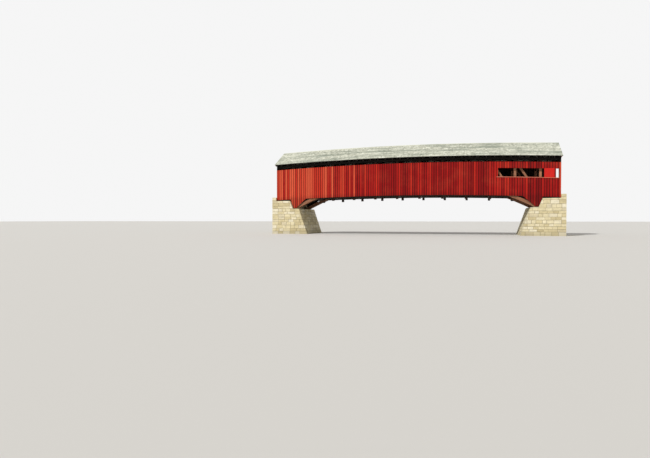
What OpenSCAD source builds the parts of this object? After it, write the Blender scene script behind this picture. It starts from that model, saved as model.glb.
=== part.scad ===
// Covered timber bridge: doubled arches clasp a posted and braced truss on stone abutments.
// +X runs along the road, +Z is up, z = 0 is the water line at the foot of the abutments.

/* [Length and camber] */

// Distance between neighbouring truss posts
panel = 2550; // [2300:50:2800]
// Number of truss panels, an odd number
panels = 11; // [7:2:13]
// Drop of every timber line from mid-span to the portals
camber_drop = 407; // [100:1:600]

/* [Floor] */

// Underside of the bottom chords and floor beams at mid-span
chord_under = 4400; // [4200:10:4600]
// Height of a floor beam
beam_h = 220; // [200:10:260]
// Width of a floor beam
beam_w = 250; // [180:10:300]
// Number of stringers
stringers_n = 6; // [4:1:8]
// Height of a stringer
stringer_h = 140; // [100:10:200]
// Width of a stringer
stringer_w = 140; // [80:10:200]
// Thickness of the deck planks
deck_t = 70; // [50:5:90]
// Gap between the deck and the inner arches
deck_gap = 50; // [20:10:150]
// Height of a wheel guard
guard_h = 200; // [120:10:250]
// Width of a wheel guard
guard_w = 150; // [100:10:200]
// Width of a crossed floor or roof brace
cross_w = 120; // [80:10:160]
// Depth of a crossed floor or roof brace
cross_h = 90; // [60:5:100]

/* [Truss] */

// Distance from the road centre to the outer face of a post
post_out = 2450; // [2350:10:2500]
// Height of the posts
post_h = 4020; // [3800:10:4200]
// Length by which the posts run past the underside of the bottom chord
post_tail = 300; // [150:10:400]
// Thickness of a post across the road
post_t = 280; // [240:10:300]
// Width of a post along the road
post_w = 260; // [200:10:320]
// Width of an end post along the road
end_w = 140; // [120:10:200]
// Height of the bottom chord
chord_h = 380; // [340:10:420]
// Thickness of one leaf of the bottom chord
chord_t = 130; // [100:10:160]
// Depth to which a chord leaf is let into the posts
chord_let = 50; // [20:5:70]
// Height of the top chord
top_h = 260; // [200:10:300]
// Depth of a slanting brace
brace_d = 220; // [160:10:240]
// Distance from the ends of the posts to the ends of the brace centre lines
brace_in = 245; // [230:5:400]

/* [Arch] */

// Underside of the arch's crown above the bottom chord
arch_up = 1720; // [1400:10:2200]
// Depth of the arch's underside below the stone shelf at its end
arch_sink = 330; // [200:10:450]
// Gap between the end of the arch and the face of the seat
arch_gap = 150; // [80:10:250]
// Depth of the arch
arch_d = 340; // [260:10:360]
// Thickness of one arch
arch_t = 170; // [140:10:180]

/* [Top bracing and roof] */

// Height of a tie beam
tie_h = 220; // [200:10:260]
// Width of a tie beam
tie_w = 200; // [150:10:260]
// Length of each leg of a knee brace
knee_leg = 1060; // [700:10:1200]
// Thickness of a knee brace
knee_t = 120; // [80:10:140]
// Height of a rafter plate
plate_h = 190; // [150:10:220]
// Width of a rafter plate
plate_w = 200; // [150:10:240]
// Distance from the outer face of the posts in to the rafter plate
plate_in = 150; // [60:10:250]
// Depth to which the rafters are notched over the plate
notch = 50; // [20:5:70]
// Depth of a rafter
rafter_d = 150; // [120:10:180]
// Width of a rafter
rafter_w = 90; // [60:5:120]
// Length by which the rafters end short of the eave
rafter_short = 40; // [10:5:100]
// Thickness of a roof lath
lath_t = 25; // [20:1:35]
// Width of a roof lath
lath_w = 120; // [80:5:150]
// Number of laths on each slope
laths = 11; // [6:1:12]
// Thickness of the shingle layer
shingle_t = 60; // [40:5:80]
// Fall of each roof slope from the ridge to the eave
roof_fall = 1770; // [1500:10:2000]
// Reach of the eave beyond the side boards
eave_over = 400; // [300:10:500]
// Length of roof beyond the portal boards
roof_over = 130; // [60:10:300]

/* [Boards] */

// Thickness of the boards
board_t = 30; // [25:1:40]
// Height of the bottom chord that shows below the side boards
chord_show = 100; // [40:10:250]
// Height of the side boards
board_h = 3660; // [3500:10:3800]
// Height of a rail that carries the boards
rail_h = 120; // [80:5:150]
// Thickness of a rail that carries the boards
rail_t = 100; // [60:5:120]
// Distance from the upper edge of the boards to the top rail
rail_in = 60; // [20:5:150]
// Clearance between a skirt and the stone
skirt_gap = 20; // [10:5:50]
// Height of a skirt's tip above the stone shelf
skirt_up = 100; // [50:10:300]
// Length of the flat tip of a skirt
skirt_tip = 350; // [50:10:500]
// Run of the slanting inner edge of a skirt
skirt_run = 1250; // [900:10:1600]

/* [Windows] */

// Sill of the windows above the lower edge of the boards
sill_up = 2040; // [1900:10:2200]
// Height of the windows
window_h = 940; // [700:10:1000]
// Distance from the portal to the inner end of the long window
long_far = 6250; // [5600:10:6600]
// Distance from the portal to the outer end of the long window
long_near = 1620; // [1400:10:2200]
// Distance from the portal to the inner end of the small window
small_far = 470; // [400:10:600]
// Distance from the portal to the outer end of the small window
small_near = 140; // [130:5:200]
// Height of the sill board
sill_h = 70; // [40:5:100]
// Projection of the sill board
sill_out = 50; // [30:5:80]

/* [Portals] */

// Height of the portal above the deck
portal_h = 3430; // [3100:10:3600]
// Size of the cut upper corners of the portal
portal_cut = 500; // [0:10:700]
// Width of the trim boards
trim_w = 140; // [100:10:160]
// Thickness of the trim boards
trim_t = 25; // [20:1:35]

/* [Abutments] */

// Thickness of the stone back wall behind the portal
back_t = 500; // [350:10:800]
// Length of the seat under the timber
seat_l = 1720; // [1500:10:1900]
// Distance from the last full post to the face of the seat
seat_clear = 225; // [200:5:400]
// Height of a bed timber at the outer end of the seat
bed_h = 200; // [150:10:250]
// Height of the seat above the shelf that takes the arch feet
seat_up = 740; // [600:10:850]
// Length of the shelf in front of the seat
shelf_l = 1200; // [1000:10:1400]
// Run of the battered river face
batter = 1050; // [600:10:1400]
// Distance that the stone reaches beyond the side boards
stone_over = 300; // [150:10:500]
// Gap between the side boards and the side walls below them
cheek_gap = 90; // [30:10:150]
// Distance from the face of the seat to the foot of a side wall's slope
cheek_run = 420; // [380:10:600]
// Run of a side wall's sloping end
cheek_batter = 380; // [200:10:420]

/* [Hidden] */

half_length = panels / 2 * panel + seat_clear + seat_l;
camber_k = camber_drop / pow(half_length, 2);
last = floor(panels / 2);
seam = 20;

chord_top = chord_under + chord_h;
stringer_low = chord_under + beam_h;
deck_low = stringer_low + stringer_h;
deck_top = deck_low + deck_t;
top_under = chord_under + post_h;
top_top = top_under + top_h;
tie_top = top_top + tie_h;
plate_top = tie_top + plate_h;

post_in = post_out - post_t;
leaf_out = post_out - chord_let + chord_t;
leaf_in = post_in + chord_let - chord_t;
deck_reach = post_in - arch_t - deck_gap;
plate_out = post_out - plate_in;
rail_y = post_out + arch_t;
board_y = rail_y + rail_t;
board_out = board_y + board_t;
tie_reach = rail_y - seam;
eave_reach = board_out + eave_over;
stone_reach = board_out + stone_over;
cheek_y = rail_y + 2 * seam;

board_low = chord_under + chord_show;
board_top = board_low + board_h;
sill_z = board_low + sill_up;
head_z = sill_z + window_h;
rail_z = [chord_top + seam, sill_z - rail_h, board_top - rail_in - rail_h];

slope = atan(roof_fall / eave_reach);
skin_t = shingle_t + lath_t;
ridge_z = plate_top - notch + plate_out * tan(slope) + (skin_t + rafter_d) / cos(slope);
wall_end = half_length + board_t;
roof_end = wall_end + roof_over;
rafter_step = panel / 3;
rafters_n = floor(half_length / rafter_step - 0.5);
lath_step = (eave_reach - lath_w - seam) / (laths - 1);

seat_face = half_length - seat_l;
seat_z = chord_under - camber_drop - bed_h;
shelf_z = seat_z - seat_up;
cheek_z = board_low - camber_drop - cheek_gap;
stone_edge = seat_face - shelf_l;
stone_back = wall_end + back_t;
skirt_low = shelf_z + skirt_up;

arch_foot = seat_face - arch_gap;
arch_crown = chord_top + arch_up;
arch_k = (arch_crown - shelf_z + arch_sink) / pow(arch_foot, 2);
arch_parts = 24;

end_post = half_length - end_w / 2;
end_beam = wall_end - 1.5 * beam_w;
post_x = concat([for (i = [-last - 1:last]) (i + 0.5) * panel], [-end_post, end_post]);

// Level of the camber line: straight in each panel, with its bends on a parabola
function para(x) = -camber_k * x * x;
function cz(x) =
    let (a = abs(x), j = floor(a / panel + 0.5), u = (j - 0.5) * panel, v = (j + 0.5) * panel)
    j == 0 ? para(panel / 2) : para(u) + (para(v) - para(u)) * (a - u) / panel;

// Places between x0 and x1 where the camber line bends, with both ends
function steps(x0, x1) =
    concat([x0], [for (j = [-last - 1:last]) let (x = (j + 0.5) * panel) if (x > x0 + 1 && x < x1 - 1) x], [x1]);
function line(x0, x1, z) = [for (x = steps(x0, x1)) [x, cz(x) + z]];
function back(list) = [for (i = [len(list) - 1:-1:0]) list[i]];

function arch_z(x) = arch_crown - arch_k * x * x;
function arch_depth(x) = arch_d * sqrt(1 + pow(2 * arch_k * x, 2));
function post_width(x) = abs(x) < end_post ? post_w : end_w;
function cheek_x(z) = seat_face - cheek_run + cheek_batter * (z - shelf_z) / (cheek_z - shelf_z);

// A strip between two levels that follows the camber
module band(x0, x1, z0, z1) {
    polygon(concat(line(x0, x1, z0), back(line(x0, x1, z1))));
}

// A 2D shape in X and Z made solid from y0 to y1
module across(y0, y1) {
    translate([0, y1, 0])
        rotate([90, 0, 0])
            linear_extrude(y1 - y0)
                children();
}

// A 2D shape in Y and Z made solid from x0 to x1
module along(x0, x1) {
    translate([x0, 0, 0])
        rotate([90, 0, 90])
            linear_extrude(x1 - x0)
                children();
}

// A timber that follows the camber
module beam(x0, x1, z0, z1, y0, y1) {
    across(y0, y1)
        band(x0, x1, z0, z1);
}

module near() {
    mirror([0, 1, 0])
        children();
}

module sides() {
    children();
    mirror([0, 1, 0])
        children();
}

module ends() {
    children();
    mirror([1, 0, 0])
        children();
}

// The layer of the far roof slope between two depths below its surface
module slope_layer(t0, t1, reach) {
    xs = steps(-reach, reach);
    low = [for (x = xs) [x, cz(x) * cos(slope) - t1]];
    high = [for (x = back(xs)) [x, cz(x) * cos(slope) - t0]];
    translate([0, 0, ridge_z])
        rotate([-slope, 0, 0])
            across(-eave_reach, 2 * eave_reach)
                polygon(concat(low, high));
}

// A block that cuts one strip out of a roof layer
module roof_cut(x0, x1, y0, y1) {
    translate([x0, y0, board_top])
        cube([x1 - x0, y1 - y0, ridge_z - board_top + roof_fall]);
}

// The two leaves of a bottom chord between two places, carried lower to cut with
module chord_leaves(x0 = -half_length, x1 = half_length, more = 0) {
    beam(x0, x1, chord_under - more, chord_top, leaf_out - chord_t, leaf_out);
    beam(x0, x1, chord_under - more, chord_top, leaf_in, leaf_in + chord_t);
}

module arch_shape() {
    xs = [for (i = [0:arch_parts]) arch_foot * (2 * i / arch_parts - 1)];
    polygon(concat([for (x = xs) [x, arch_z(x)]],
        [for (x = back(xs)) [x, arch_z(x) + arch_depth(x)]]));
}

// The outer and inner arch that clasp the posts of one truss
module arch_pair() {
    across(post_out, post_out + arch_t)
        arch_shape();
    across(post_in - arch_t, post_in)
        arch_shape();
}

module gained_arches() {
    difference() {
        arch_pair();
        chord_leaves();
    }
}

// Full posts run past the bottom chord, end posts stop level with it
module posts() {
    for (x = post_x) {
        w = post_width(x);
        tail = abs(x) < end_post ? post_tail : 0;
        difference() {
            beam(x - w / 2, x + w / 2, chord_under - tail, top_under, post_in, post_out);
            chord_leaves(x - w, x + w, tail > 0 ? 0 : seam);
        }
    }
}

// A slanting brace from the foot of one post to the head of its inner neighbour
module brace(foot, head) {
    side = foot > head ? post_w / 2 : -post_w / 2;
    x0 = foot - side;
    x1 = head + side;
    z0 = chord_under + brace_in + cz(foot);
    z1 = top_under - brace_in + cz(head);
    half = brace_d / 2 / cos(atan((z1 - z0) / (x1 - x0)));
    polygon([[x0, z0 - half], [x1, z1 - half], [x1, z1 + half], [x0, z0 + half]]);
}

module braces() {
    across(leaf_in + chord_t, leaf_out - chord_t) {
        for (i = [1:last])
            ends()
                brace((i + 0.5) * panel, (i - 0.5) * panel);
        ends()
            brace(panel / 2, -panel / 2);
    }
}

// One set of flat braces laid corner to corner between cross timbers of width w
module flat_braces(turn, w, z, reach) {
    gap = panel - w;
    half = cross_w / 2 / cos(atan(2 * reach / gap));
    for (i = [-last:last])
        intersection() {
            translate([i * panel, 0, 0])
                linear_extrude(z + cross_h)
                    polygon([[-gap / 2, -turn * reach - half], [gap / 2, turn * reach - half],
                        [gap / 2, turn * reach + half], [-gap / 2, -turn * reach + half]]);
            beam(i * panel - gap / 2, i * panel + gap / 2, z, z + cross_h, -post_out, post_out);
        }
}

module top_chord() {
    beam(-half_length, half_length, top_under, top_top, post_in, post_out);
}

module plate() {
    beam(-half_length, half_length, tie_top, plate_top, plate_out - plate_w, plate_out);
}

module rafter_row() {
    xs = concat([for (i = [-rafters_n:rafters_n]) i * rafter_step],
        [-half_length + rafter_w / 2, half_length - rafter_w / 2]);
    difference() {
        intersection() {
            slope_layer(skin_t, skin_t + rafter_d, half_length);
            for (x = xs)
                roof_cut(x - rafter_w / 2, x + rafter_w / 2, 0, eave_reach - rafter_short);
        }
        plate();
    }
}

module roof_slope() {
    intersection() {
        slope_layer(0, shingle_t, roof_end);
        roof_cut(-roof_end, roof_end, 0, eave_reach);
    }
}

// Rails that carry the boards, blocked out from the posts where no arch stands
module rails() {
    for (z = rail_z)
        beam(-half_length, half_length, z, z + rail_h, rail_y, board_y);
    difference() {
        for (z = rail_z, x = post_x)
            beam(x - end_w / 2, x + end_w / 2, z, z + rail_h, post_out, rail_y);
        arch_pair();
    }
}

module window_frame() {
    beam(half_length - long_far - rail_t, half_length, head_z, head_z + rail_h, rail_y, board_y);
    for (x = [half_length - long_far - rail_t, half_length - long_near, half_length - small_far - rail_t])
        beam(x, x + rail_t, sill_z - rail_h / 2, head_z + rail_h / 2, rail_y, board_y);
}

// The boards of one side with their lower edge cut to skirts over the arch feet
module siding() {
    top = cheek_x(cheek_z) - skirt_gap;
    tip = cheek_x(skirt_low) - skirt_gap;
    inner = tip - skirt_tip;
    start = inner - skirt_run;
    across(board_y, board_out)
        polygon(concat(line(-half_length, -top, board_low),
            [[-top, cheek_z], [-tip, skirt_low], [-inner, skirt_low]],
            line(-start, start, board_low),
            [[inner, skirt_low], [tip, skirt_low], [top, cheek_z]],
            line(top, half_length, board_low),
            back(line(-half_length, half_length, board_top))));
}

module portal_shape(grow, low) {
    reach = deck_reach + grow;
    top = deck_top + portal_h + grow;
    cut = portal_cut + grow * tan(22.5);
    polygon([[-reach, low], [reach, low], [reach, top - cut], [reach - cut, top],
        [cut - reach, top], [-reach, top - cut]]);
}

// A strip under the roof edge, or the whole gable where it reaches down to the boards' foot
module gable_line(reach, depth) {
    z = ridge_z - skin_t / cos(slope);
    drop = reach * tan(slope);
    polygon([[0, z], [-reach, z - drop], [-reach, z - drop - depth], [0, z - depth],
        [reach, z - drop - depth], [reach, z - drop]]);
}

module gable() {
    z = ridge_z - skin_t / cos(slope);
    drop = board_out * tan(slope);
    polygon([[-board_out, board_low], [board_out, board_low], [board_out, z - drop], [0, z],
        [-board_out, z - drop]]);
}

module portal() {
    translate([0, 0, cz(wall_end)])
        along(half_length, wall_end)
            difference() {
                gable();
                portal_shape(0, board_low - seam);
            }
}

module portal_trim() {
    translate([0, 0, cz(wall_end)]) {
        along(wall_end, wall_end + trim_t)
            difference() {
                portal_shape(trim_w, deck_top + seam);
                portal_shape(0, deck_top);
            }
        along(wall_end, wall_end + trim_t)
            gable_line(eave_reach - rafter_short, trim_w);
    }
}

module abutment() {
    difference() {
        union() {
            across(-stone_reach, stone_reach)
                polygon([[stone_edge - batter, 0], [stone_back, 0], [stone_back, shelf_z], [stone_edge, shelf_z]]);
            across(-stone_reach, stone_reach)
                polygon([[wall_end, 0], [stone_back, 0], [stone_back, deck_top + cz(half_length)],
                    [wall_end, deck_top + cz(half_length)]]);
            across(-cheek_y, cheek_y)
                polygon([[seat_face, 0], [stone_back, 0], [stone_back, seat_z], [seat_face, seat_z]]);
            sides()
                across(cheek_y, stone_reach)
                    polygon([[cheek_x(shelf_z), 0], [stone_back, 0], [stone_back, cheek_z],
                        [cheek_x(cheek_z), cheek_z], [cheek_x(shelf_z), shelf_z]]);
        }
        sides()
            arch_pair();
    }
}

module abutment_left() {
    color("#b9ad98")
        mirror([1, 0, 0])
            abutment();
}

module abutment_right() {
    color("#b9ad98")
        abutment();
}

// Cross timbers on the seat, cut to the slope of the chords
module bed_timbers() {
    color("#5d4c3c")
        ends()
            for (x = [seat_face + end_w, wall_end - 2 * beam_w])
                across(-tie_reach, tie_reach)
                    polygon(concat([[x, seat_z], [x + beam_w, seat_z]],
                        back(line(x, x + beam_w, chord_under))));
}

module bottom_chord_near() {
    color("#4a3b30")
        near()
            chord_leaves();
}

module bottom_chord_far() {
    color("#4a3b30")
        chord_leaves();
}

// Cross beams framed between the chords, the last ones on the outer bed timbers
module floor_beams() {
    xs = concat([for (i = [-last - 1:last]) (i + 0.5) * panel], [-end_beam, end_beam]);
    color("#4f4034")
        difference() {
            for (x = xs)
                beam(x - beam_w / 2, x + beam_w / 2, chord_under, stringer_low, -leaf_in, leaf_in);
            sides()
                arch_pair();
        }
}

module floor_bracing_low() {
    color("#5d4c3c")
        flat_braces(1, beam_w, chord_under + seam, deck_reach - cross_w);
}

module floor_bracing_high() {
    color("#5d4c3c")
        flat_braces(-1, beam_w, chord_under + seam + cross_h, deck_reach - cross_w);
}

module stringers() {
    reach = deck_reach - guard_w - stringer_w / 2;
    color("#6a5846")
        for (i = [0:stringers_n - 1]) {
            y = reach * (2 * i / (stringers_n - 1) - 1);
            beam(-half_length, half_length, stringer_low, deck_low, y - stringer_w / 2, y + stringer_w / 2);
        }
}

module deck() {
    color("#84725b")
        beam(-half_length, half_length, deck_low, deck_top, -deck_reach, deck_reach);
}

module wheel_guards() {
    color("#77654f")
        sides()
            beam(-half_length, half_length, deck_top, deck_top + guard_h, deck_reach - guard_w, deck_reach);
}

module posts_near() {
    color("#8b6b4c")
        near()
            posts();
}

module posts_far() {
    color("#8b6b4c")
        posts();
}

module braces_near() {
    color("#8b6b4c")
        near()
            braces();
}

module braces_far() {
    color("#8b6b4c")
        braces();
}

module arch_near() {
    color("#7a5c42")
        near()
            gained_arches();
}

module arch_far() {
    color("#7a5c42")
        gained_arches();
}

module top_chord_near() {
    color("#6b543e")
        near()
            top_chord();
}

module top_chord_far() {
    color("#6b543e")
        top_chord();
}

module tie_beams() {
    color("#6b543e") {
        for (i = [-last - 1:last])
            beam((i + 0.5) * panel - tie_w / 2, (i + 0.5) * panel + tie_w / 2, top_top, tie_top,
                -tie_reach, tie_reach);
        ends()
            beam(half_length - tie_w, half_length, top_top, tie_top, -tie_reach, tie_reach);
    }
}

module tie_bracing_low() {
    color("#7a5c42")
        flat_braces(1, tie_w, top_top + seam, post_in);
}

module tie_bracing_high() {
    color("#7a5c42")
        flat_braces(-1, tie_w, top_top + seam + cross_h, post_in);
}

module knee_braces() {
    wide = knee_t * sqrt(2);
    color("#7a5c42")
        sides()
            for (x = post_x)
                translate([0, 0, cz(abs(x) + knee_t / 2)])
                    along(x - knee_t / 2, x + knee_t / 2)
                        polygon([[post_in, top_top - knee_leg], [post_in - knee_leg, top_top],
                            [post_in - knee_leg + wide, top_top], [post_in, top_top - knee_leg + wide]]);
}

module plate_near() {
    color("#6b543e")
        near()
            plate();
}

module plate_far() {
    color("#6b543e")
        plate();
}

module rafters_near() {
    color("#7a6048")
        near()
            rafter_row();
}

module rafters_far() {
    color("#7a6048")
        rafter_row();
}

module roof_lath() {
    color("#8d7a63")
        sides()
            intersection() {
                slope_layer(shingle_t, skin_t, roof_end - seam);
                for (i = [0:laths - 1])
                    roof_cut(-roof_end, roof_end, seam + i * lath_step, seam + i * lath_step + lath_w - seam);
            }
}

module roof_near() {
    color("#b5b3ab")
        near()
            roof_slope();
}

module roof_far() {
    color("#b5b3ab")
        roof_slope();
}

module rails_near() {
    color("#7a3a30")
        near() {
            rails();
            window_frame();
        }
}

module rails_far() {
    color("#7a3a30")
        rails();
}

module siding_near() {
    color("#b01c1e")
        near()
            difference() {
                siding();
                for (w = [[long_far, long_near], [small_far, small_near]])
                    beam(half_length - w[0], half_length - w[1], sill_z, head_z, rail_y, board_out + seam);
            }
}

module siding_far() {
    color("#b01c1e")
        siding();
}

module window_sill() {
    color("#b8443c")
        near()
            beam(half_length - long_far - trim_w, half_length - trim_w, sill_z - sill_h, sill_z,
                board_out, board_out + sill_out);
}

// A closed panel between the two windows
module window_panel() {
    color("#c9262a")
        near()
            beam(half_length - long_near, half_length - small_far - trim_w, sill_z, head_z,
                board_out, board_out + trim_t);
}

module corner_boards() {
    color("#b8332b")
        sides()
            ends()
                beam(half_length - trim_w + board_t, wall_end, board_low, board_top,
                    board_out, board_out + trim_t);
}

module portal_left() {
    color("#b01c1e")
        mirror([1, 0, 0])
            portal();
}

module portal_right() {
    color("#b01c1e")
        portal();
}

module portal_trim_left() {
    color("#b8332b")
        mirror([1, 0, 0])
            portal_trim();
}

module portal_trim_right() {
    color("#b8332b")
        portal_trim();
}

abutment_left();
abutment_right();
bed_timbers();
bottom_chord_near();
bottom_chord_far();
floor_beams();
floor_bracing_low();
floor_bracing_high();
stringers();
deck();
wheel_guards();
posts_near();
posts_far();
braces_near();
braces_far();
arch_near();
arch_far();
top_chord_near();
top_chord_far();
tie_beams();
tie_bracing_low();
tie_bracing_high();
knee_braces();
plate_near();
plate_far();
rafters_near();
rafters_far();
roof_lath();
roof_near();
roof_far();
rails_near();
rails_far();
siding_near();
siding_far();
window_sill();
window_panel();
corner_boards();
portal_left();
portal_right();
portal_trim_left();
portal_trim_right();
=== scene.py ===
import math
import bpy
import numpy as np
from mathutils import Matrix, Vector, noise


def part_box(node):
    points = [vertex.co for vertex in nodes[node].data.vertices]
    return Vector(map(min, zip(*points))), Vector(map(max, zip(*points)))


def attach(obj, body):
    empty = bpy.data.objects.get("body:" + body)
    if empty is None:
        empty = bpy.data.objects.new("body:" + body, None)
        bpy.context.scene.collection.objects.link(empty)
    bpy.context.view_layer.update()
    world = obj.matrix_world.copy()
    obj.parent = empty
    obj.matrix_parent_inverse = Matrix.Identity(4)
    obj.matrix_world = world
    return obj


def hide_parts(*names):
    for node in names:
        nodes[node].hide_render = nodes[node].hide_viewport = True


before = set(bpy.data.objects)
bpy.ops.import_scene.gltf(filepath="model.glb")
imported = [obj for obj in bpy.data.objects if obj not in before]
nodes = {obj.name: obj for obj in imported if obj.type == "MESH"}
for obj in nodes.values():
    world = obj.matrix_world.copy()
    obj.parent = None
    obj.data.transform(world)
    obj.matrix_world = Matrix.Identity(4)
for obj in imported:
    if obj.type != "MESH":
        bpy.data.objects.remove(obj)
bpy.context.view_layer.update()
print("frame loaded:", len(nodes), "nodes")

# The bridge's main lines in metres: +X along the road, +Z up, the near side is at -Y
bridge = {
    "panel": 2.55,
    "halfLength": 15.97,
    "camber": 0.407,  # drop from mid-span to the portals
    "roadLevel": 4.83,
    "chordUnder": 4.40,
    "roofFall": 29.33,  # degrees
    "eaveReach": 3.15,
}
camberFall = bridge["camber"] / bridge["halfLength"] ** 2  # the drop at x is this times x squared


def camberLine(x):  # level of every timber line at x, straight between the truss posts
    step = bridge["panel"]
    bay = math.floor(abs(x) / step + 0.5)
    if bay == 0:
        return -camberFall * (step / 2) ** 2
    a, b = (bay - 0.5) * step, (bay + 0.5) * step
    return -camberFall * a * a - camberFall * (b * b - a * a) * (abs(x) - a) / step


def camberAt(places):
    return np.array([camberLine(x) for x in places])


# Making and shaping

meshing = {
    "weld": 0.0002,  # points of a CAD mesh nearer than this are one
    "flat": 0.001,  # radians within which faces are one plane
    "quadFlat": 0.01,  # radians within which two triangles make a quad
    "quadShape": 3.1,  # and how far from a rectangle it may be
    "joinWeld": 0.001,  # welds the parts of a repeated block into one
    "crease": 0.5,  # radians between the faces of an edge that is eased
    "nudge": 0.01,  # keeps a whole number whole when its fraction is cut off
}


def clearSelection():
    for thing in bpy.context.selected_objects:
        thing.select_set(False)


def only(thing):
    clearSelection()
    thing.select_set(True)
    bpy.context.view_layer.objects.active = thing


def settled(thing):  # moves its place and size into its mesh
    bpy.ops.object.transform_apply(location=True, rotation=True, scale=True)
    return thing


def editing(thing):
    only(thing)
    bpy.ops.object.mode_set(mode="EDIT")
    bpy.ops.mesh.select_all(action="SELECT")


def edited():
    bpy.ops.object.mode_set(mode="OBJECT")


def block(name, low, high):  # a box between two corners, the start of a timber, board or stone
    clearSelection()
    size = [b - a for a, b in zip(low, high)]
    middle = [(a + b) / 2 for a, b in zip(low, high)]
    bpy.ops.mesh.primitive_cube_add(size=1, location=middle, scale=size)
    thing = bpy.context.object
    thing.name = thing.data.name = name
    return settled(thing)


def worked(thing, kind, **settings):  # adds a modifier and applies it
    only(thing)
    tool = thing.modifiers.new(kind.lower(), kind)
    for name, value in settings.items():
        setattr(tool, name, value)
    bpy.ops.object.modifier_apply(modifier=tool.name)
    return thing


def repeated(thing, count, step):
    return worked(thing, "ARRAY", count=count, use_relative_offset=False,
                  use_constant_offset=True, constant_offset_displace=step)


def easedEdges(thing, width, angle=meshing["crease"]):
    worked(thing, "BEVEL", width=width, segments=1, limit_method="ANGLE",
           angle_limit=angle, harden_normals=False)


def joined(things, name):
    clearSelection()
    for thing in things:
        thing.select_set(True)
    bpy.context.view_layer.objects.active = things[0]
    bpy.ops.object.join()
    things[0].name = things[0].data.name = name
    return things[0]


def cutTo(thing, cutter, operation="INTERSECT"):
    worked(thing, "BOOLEAN", operation=operation, object=cutter, solver="EXACT")
    bpy.data.objects.remove(cutter)


def outwardFaces(thing):
    editing(thing)
    bpy.ops.mesh.normals_make_consistent(inside=False)
    edited()


def points(thing):
    flat = np.empty(len(thing.data.vertices) * 3, np.float32)
    thing.data.vertices.foreach_get("co", flat)
    return flat.reshape(-1, 3).astype(float)


def setPoints(thing, places):
    thing.data.vertices.foreach_set("co", places.astype(np.float32).ravel())
    thing.data.update()


def nodeCopy(node, name, pierced=False):  # a merged copy of a CAD node, its flat faces whole again
    thing = bpy.data.objects.new(name, nodes[node].data.copy())
    thing.data.name = name
    bpy.context.scene.collection.objects.link(thing)
    thing.data.materials.clear()
    editing(thing)
    bpy.ops.mesh.remove_doubles(threshold=meshing["weld"])
    if pierced:  # a face around an opening stays in quads
        bpy.ops.mesh.tris_convert_to_quads(face_threshold=meshing["quadFlat"],
                                           shape_threshold=meshing["quadShape"])
    else:
        bpy.ops.mesh.dissolve_limited(angle_limit=meshing["flat"])
    edited()
    return thing


def islands(thing):  # which loose part each vertex belongs to
    ends = np.empty(len(thing.data.edges) * 2, np.int32)
    thing.data.edges.foreach_get("vertices", ends)
    ends = ends.reshape(-1, 2)
    label = np.arange(len(thing.data.vertices))
    while True:
        low = np.minimum(label[ends[:, 0]], label[ends[:, 1]])
        fresh = label.copy()
        np.minimum.at(fresh, ends[:, 0], low)
        np.minimum.at(fresh, ends[:, 1], low)
        fresh = fresh[fresh]
        if (fresh == label).all():
            return np.unique(label, return_inverse=True)[1]
        label = fresh


def writeValue(thing, name, values):
    made = thing.data.attributes.new(name, "FLOAT", "POINT")
    made.data.foreach_set("value", values.astype(np.float32))


def writeGrain(thing, along, across, depth, tone):
    grain = thing.data.attributes.new("grain", "FLOAT_VECTOR", "POINT")
    grain.data.foreach_set("vector", np.stack([along, across, depth], 1).astype(np.float32).ravel())
    writeValue(thing, "tone", tone)


pattern = {
    "shift": 20,  # each piece takes its grain from its own place in the pattern
    "aside": (0.3, 0.2, 0.9),  # off the run of any timber that lies
    "asideUpright": (1, 0.1, 0),
    "upright": 0.8,  # a timber whose direction rises by this share stands
}


def timberGrain(thing, seed, direction=None):
    # each timber's own length, width and depth, so that one finish follows them all
    rng = np.random.default_rng(seed)
    places, label = points(thing), islands(thing)
    local, tone = np.zeros_like(places), np.zeros(len(places))
    order = np.argsort(label, kind="stable")
    for part in np.split(order, np.flatnonzero(np.diff(label[order])) + 1):
        own = places[part] - places[part].mean(0)
        if direction is None:
            axes = np.linalg.svd(own, full_matrices=False)[2]
        else:
            lead = np.array(direction, float) / np.linalg.norm(direction)
            lies = abs(lead[2]) < pattern["upright"]
            side = np.cross(lead, pattern["aside"] if lies else pattern["asideUpright"])
            side /= np.linalg.norm(side)
            axes = np.stack([lead, side, np.cross(lead, side)])
        local[part] = own @ axes.T + rng.uniform(-pattern["shift"], pattern["shift"], 3)
        tone[part] = rng.uniform()
    writeGrain(thing, local[:, 0], local[:, 1], local[:, 2], tone)


def done(thing, finish, slot, *stoodFor):
    thing.data.materials.clear()
    thing.data.materials.append(finish)
    thing.select_set(False)
    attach(thing, "root")
    if stoodFor:
        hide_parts(*stoodFor)


# Nodes of the finishes

def colour(code):  # sRGB hex to linear
    parts = [int(code[i:i + 2], 16) / 255 for i in (1, 3, 5)]
    return [p / 12.92 if p <= 0.04045 else ((p + 0.055) / 1.055) ** 2.4 for p in parts] + [1.0]


def addNode(tree, kind, settings=None, links=None):
    made = tree.nodes.new(kind)
    for name, value in (settings or {}).items():
        if name == "stops":
            elements = made.color_ramp.elements
            while len(elements) < len(value):
                elements.new(0.5)
            for stop, (place, shade) in zip(elements, value):
                stop.position = place
                stop.color = colour(shade) if isinstance(shade, str) else (shade, shade, shade, 1)
        elif isinstance(name, str) and hasattr(made, name):
            setattr(made, name, value)
        else:
            made.inputs[name].default_value = value
    for name, source in (links or {}).items():
        node, outlet = source if isinstance(source, tuple) else (source, 0)
        tree.links.new(node.outputs[outlet], made.inputs[name])
    return made


def newFinish(name):
    finish = bpy.data.materials.new(name)
    finish.use_nodes = True
    finish.node_tree.nodes.clear()
    return finish, finish.node_tree


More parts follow.
